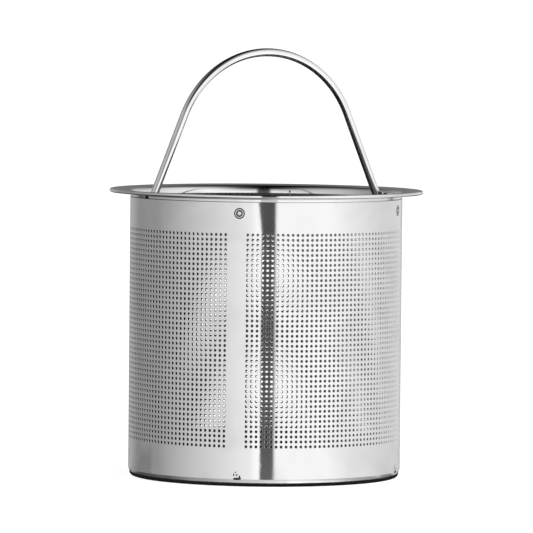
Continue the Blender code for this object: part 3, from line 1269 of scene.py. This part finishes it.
# What the steel mirrors: light by azimuth from the camera, in degrees to the right, and by elevation.
WALL_LIGHT: tuple[Point, ...] = (
    (-180, 0.17), (-165, 0.50), (-152, 0.49), (-143, 0.42), (-136, 0.37), (-102, 0.44), (-58, 0.84),
    (-31, 1.08), (-12, 1.25), (-7, 1.45), (-4.2, 1.45), (-3.2, 0.11), (7.9, 0.11), (8.7, 1.4), (29, 1.4),
    (55, 1.42), (76, 1.24), (114, 0.98), (143, 0.92), (155, 0.9), (166, 0.65), (175, 0.3), (180, 0.17),
)
TABLE_LIGHT: tuple[Point, ...] = (
    (-180, 0.08), (-130, 0.09), (-90, 0.15), (-60, 0.45), (-30, 0.72), (30, 0.78), (60, 0.75), (90, 0.55),
    (115, 0.42), (131, 0.3), (150, 0.1), (180, 0.04),
)
TABLE_FADE: tuple[Point, ...] = (
    (-90, 0.0), (-45, 0.0), (-25, 1.0), (-15, 1.0), (-9.5, 1.1), (-7.5, 0.3), (90, 0.3)
)
BOARD_LIGHT: tuple[Point, ...] = (
    (-180, 0.02), (-40, 0.02), (0, 0.3), (15, 1.1), (50, 1.25), (90, 1.1), (120, 0.85), (140, 0.3),
    (155, 0.05), (180, 0.02),
)
BOARD_FADE: tuple[Point, ...] = (
    (-90, 0.03), (-68, 0.2), (-52, 0.55), (-38, 1.0), (-20, 0.9), (-16, 0.0), (90, 0.0)
)
STRIP_LIGHT: tuple[Point, ...] = (
    (-180, 0.15), (-140, 0.36), (-110, 0.4), (-106, 0.0), (120, 0.0), (126, 0.75), (150, 0.7), (180, 0.15)
)
STRIP_FADE: tuple[Point, ...] = (
    (-90, 0.0), (-9.5, 0.0), (-8.5, 1.0), (-6.4, 1.0), (-5.6, 0.0), (90, 0.0)
)
TABLE_EDGE: tuple[Point, ...] = (
    (-180, -5.1), (-115, -5.15), (-110, -5.3), (-106, -12.0), (-5, -12.0), (-3.2, -5.0), (7.9, -5.0),
    (9, -12.0), (120, -12.0), (126, -5.9), (132, -5.4), (145, -5.15), (180, -5.05),
)
# The ceiling is dark over the object and lighter to both sides: light by distance from the middle plane.
CEILING_LIGHT: tuple[Point, ...] = (
    (0.0, 0.005), (0.12, 0.02), (0.3, 0.1), (0.6, 0.6), (0.75, 0.88), (0.9, 1.0)
)
CEILING_START: tuple[Point, ...] = ((-90, 0.0), (7, 0.0), (38, 1.0), (90, 1.0))


def azimuth_share(azimuth: float) -> float:
    """Gives the place of an azimuth, in degrees, on a ramp once round."""
    return azimuth / 360.0 + 0.5


def level_share(elevation: float) -> float:
    """Gives the place of an elevation, in degrees, on a ramp from the floor to the zenith."""
    return (math.sin(math.radians(elevation)) + 1.0) / 2.0


@dataclass
class Studio:
    """The floor, the light round the object and the camera at the photograph's angle."""

    camera_azimuth: float = math.radians(-119.7)
    camera_distance: float = 1472.4 * MM
    camera_height: float = 129.84 * MM
    pitch: float = math.radians(3.072)
    yaw: float = math.radians(0.0074)
    roll: float = math.radians(0.543)
    lens: float = 410.19
    sensor: float = 36.0
    clip_start: float = 10.0 * MM
    floor_radius: float = 40.0
    floor_facets: int = 96
    floor_tint: float = 0.9
    floor_glow: float = 0.2
    edge_blur: float = 0.001
    contact_radius: float = 35.1 * MM
    contact_lift: float = 0.02 * MM
    contact_tint: float = 0.02
    fill_strength: float = 36.0
    fill_elevation: float = math.radians(3.3)
    fill_angle: float = math.radians(1.0)

    def camera(self) -> None:
        """Adds the camera and makes it the scene's."""
        back = Vector((math.cos(self.camera_azimuth), math.sin(self.camera_azimuth), 0.0))
        up = Vector((0.0, 0.0, 1.0))
        away = -back
        right = away.cross(up)
        right, away = (
            right * math.cos(self.yaw) - away * math.sin(self.yaw),
            right * math.sin(self.yaw) + away * math.cos(self.yaw),
        )
        ahead = away * math.cos(self.pitch) - up * math.sin(self.pitch)
        top = away * math.sin(self.pitch) + up * math.cos(self.pitch)
        side = right * math.cos(self.roll) + top * math.sin(self.roll)
        top = top * math.cos(self.roll) - right * math.sin(self.roll)
        data = bpy.data.cameras.new("photo_camera")
        data.lens = self.lens
        data.sensor_width = self.sensor
        data.clip_start = self.clip_start
        data.clip_end = 4 * self.floor_radius
        camera = bpy.data.objects.new("photo_camera", data)
        bpy.context.scene.collection.objects.link(camera)
        turn = Matrix((side, top, -ahead)).transposed().to_4x4()
        place = back * self.camera_distance + Vector((0.0, 0.0, self.camera_height))
        camera.matrix_world = Matrix.Translation(place) @ turn
        bpy.context.scene.camera = camera

    def floor(self) -> None:
        """Adds the pale floor, which the steel doesn't mirror: what it mirrors is in the studio's light."""
        material = self.matt("pale_floor", self.floor_tint)
        shader = material.node_tree.nodes["Principled BSDF"]
        shader.inputs["Emission Color"].default_value = (1.0, 1.0, 1.0, 1.0)
        wiring = Wiring(material.node_tree)
        seen = wiring.add("LightPath").outputs["Is Camera Ray"]
        wiring.link(wiring.math("MULTIPLY", seen, self.floor_glow), shader.inputs["Emission Strength"])
        floor = self.disc("floor", self.floor_radius, 0.0, material)
        floor.visible_glossy = False

    def contact(self) -> None:
        """Adds a dark disc close round the foot, a painted contact shadow which only the steel mirrors."""
        material = self.matt("contact_shadow", self.contact_tint)
        disc = self.disc("contact_shadow", self.contact_radius, self.contact_lift, material)
        disc.visible_camera = False
        disc.visible_diffuse = False
        disc.visible_shadow = False

    @staticmethod
    def matt(name: str, tint: float) -> bpy.types.Material:
        """Builds a matt grey.

        Args:
            name: The material's name.
            tint: How light it is.

        Returns:
            The material, with no gloss.
        """
        material = bpy.data.materials.new(name)
        material.use_nodes = True
        shader = material.node_tree.nodes["Principled BSDF"]
        shader.inputs["Base Color"].default_value = (tint, tint, tint, 1.0)
        shader.inputs["Roughness"].default_value = 0.9
        shader.inputs["Specular IOR Level"].default_value = 0.0
        return material

    def disc(
        self, name: str, radius: float, level: float, material: bpy.types.Material
    ) -> bpy.types.Object:
        """Stages a round sheet under the object.

        Args:
            name: Its name.
            radius: Its radius.
            level: Its height.
            material: What it is made of.

        Returns:
            The sheet.
        """
        sheet = turn_outline([(0.0, level), (radius, level)], self.floor_facets, closed=False)
        sheet.name = name
        sheet.data.materials.append(material)
        return sheet

    def light(self) -> None:
        """Sets the light: bright walls left and right, a dark gap at the camera, and a table below."""
        world = bpy.data.worlds.new("studio")
        bpy.context.scene.world = world
        world.use_nodes = True
        wiring = Wiring(world.node_tree)
        world.node_tree.nodes.clear()
        turned = wiring.add("Mapping")
        turned.inputs["Rotation"].default_value = (0.0, 0.0, -self.camera_azimuth)
        wiring.link(wiring.add("TexCoord").outputs["Generated"], turned.inputs["Vector"])
        gradient = wiring.add("TexGradient", gradient_type="RADIAL")
        wiring.link(turned.outputs[0], gradient.inputs["Vector"])
        azimuth = gradient.outputs["Fac"]
        parts = wiring.add("SeparateXYZ")
        wiring.link(turned.outputs[0], parts.inputs[0])
        level = wiring.math("MULTIPLY_ADD", parts.outputs["Z"], 0.5, 0.5)
        walls = self.ramp(wiring, azimuth, WALL_LIGHT, azimuth_share)
        aside = wiring.math("ABSOLUTE", parts.outputs["Y"])
        ceiling = wiring.math("SUBTRACT", self.ramp(wiring, aside, CEILING_LIGHT, float), 1.0)
        overhead = self.ramp(wiring, level, CEILING_START, level_share)
        walls = wiring.math("MULTIPLY", walls, wiring.math("MULTIPLY_ADD", ceiling, overhead, 1.0))
        table = self.ramp(wiring, azimuth, TABLE_LIGHT, azimuth_share)
        table = wiring.math("MULTIPLY", table, self.ramp(wiring, level, TABLE_FADE, level_share))
        for across, up in ((BOARD_LIGHT, BOARD_FADE), (STRIP_LIGHT, STRIP_FADE)):
            pale = self.ramp(wiring, azimuth, across, azimuth_share)
            table = wiring.math("MULTIPLY_ADD", pale, self.ramp(wiring, level, up, level_share), table)
        edge = [(angle, level_share(elevation)) for angle, elevation in TABLE_EDGE]
        above = wiring.math("SUBTRACT", level, self.ramp(wiring, azimuth, edge, azimuth_share))
        meeting = wiring.add("MapRange", interpolation_type="SMOOTHSTEP")
        meeting.inputs["From Min"].default_value = -self.edge_blur
        meeting.inputs["From Max"].default_value = self.edge_blur
        wiring.link(above, meeting.inputs["Value"])
        both = wiring.add("Mix", data_type="FLOAT")
        wiring.link(meeting.outputs[0], both.inputs["Factor"])
        for source, socket in zip((table, walls), both.inputs[2:4]):
            wiring.link(source, socket)
        studio = wiring.add("Background")
        studio.inputs["Color"].default_value = (1.0, 1.0, 1.0, 1.0)
        wiring.link(both.outputs[0], studio.inputs["Strength"])
        wiring.link(studio.outputs[0], wiring.add("OutputWorld").inputs["Surface"])

    def fill(self) -> None:
        """Adds a low light from the camera's side, with no shadow, that the steel doesn't mirror."""
        light = bpy.data.lights.new("front_fill", "SUN")
        light.energy = self.fill_strength
        light.angle = self.fill_angle
        light.use_shadow = False
        lamp = bpy.data.objects.new("front_fill", light)
        lamp.visible_glossy = False
        away = Vector((-math.cos(self.camera_azimuth), -math.sin(self.camera_azimuth), 0.0))
        ahead = away - Vector((0.0, 0.0, math.tan(self.fill_elevation)))
        lamp.rotation_euler = ahead.to_track_quat("-Z", "Y").to_euler()
        bpy.context.scene.collection.objects.link(lamp)

    @staticmethod
    def ramp(
        wiring: Wiring,
        source: bpy.types.NodeSocket,
        stops: Sequence[Point],
        place: Callable[[float], float],
    ) -> bpy.types.NodeSocket:
        """Adds a ramp of grey values.

        Args:
            wiring: The wiring that it goes into.
            source: What it reads.
            stops: Angles with their values.
            place: Gives an angle's place on the ramp.

        Returns:
            The ramp's output.
        """
        node = wiring.add("ValToRGB")
        elements = node.color_ramp.elements
        while len(elements) < len(stops):
            elements.new(0.5)
        for element, (angle, value) in zip(elements, stops):
            element.position = place(angle)
            element.color = (value, value, value, 1.0)
        wiring.link(source, node.inputs[0])
        return node.outputs[0]

    def build(self) -> None:
        """Sets up floor, light and camera."""
        self.floor()
        self.contact()
        self.light()
        self.fill()
        self.camera()
        bpy.context.scene.view_settings.view_transform = "Standard"


def main() -> None:
    """Builds the basket and the studio."""
    logging.basicConfig(level=logging.INFO, format="%(message)s")
    for build_group in (polishing_lines, handling_marks, rolled_skin):
        build_group()
    sheet = RolledSheet()
    sheet.build()
    PressedRim(sheet).build()
    PressedBase(sheet).build()
    WireBail().build()
    WeldMarks(sheet).build()
    Studio().build()


if __name__ == "__main__":
    main()
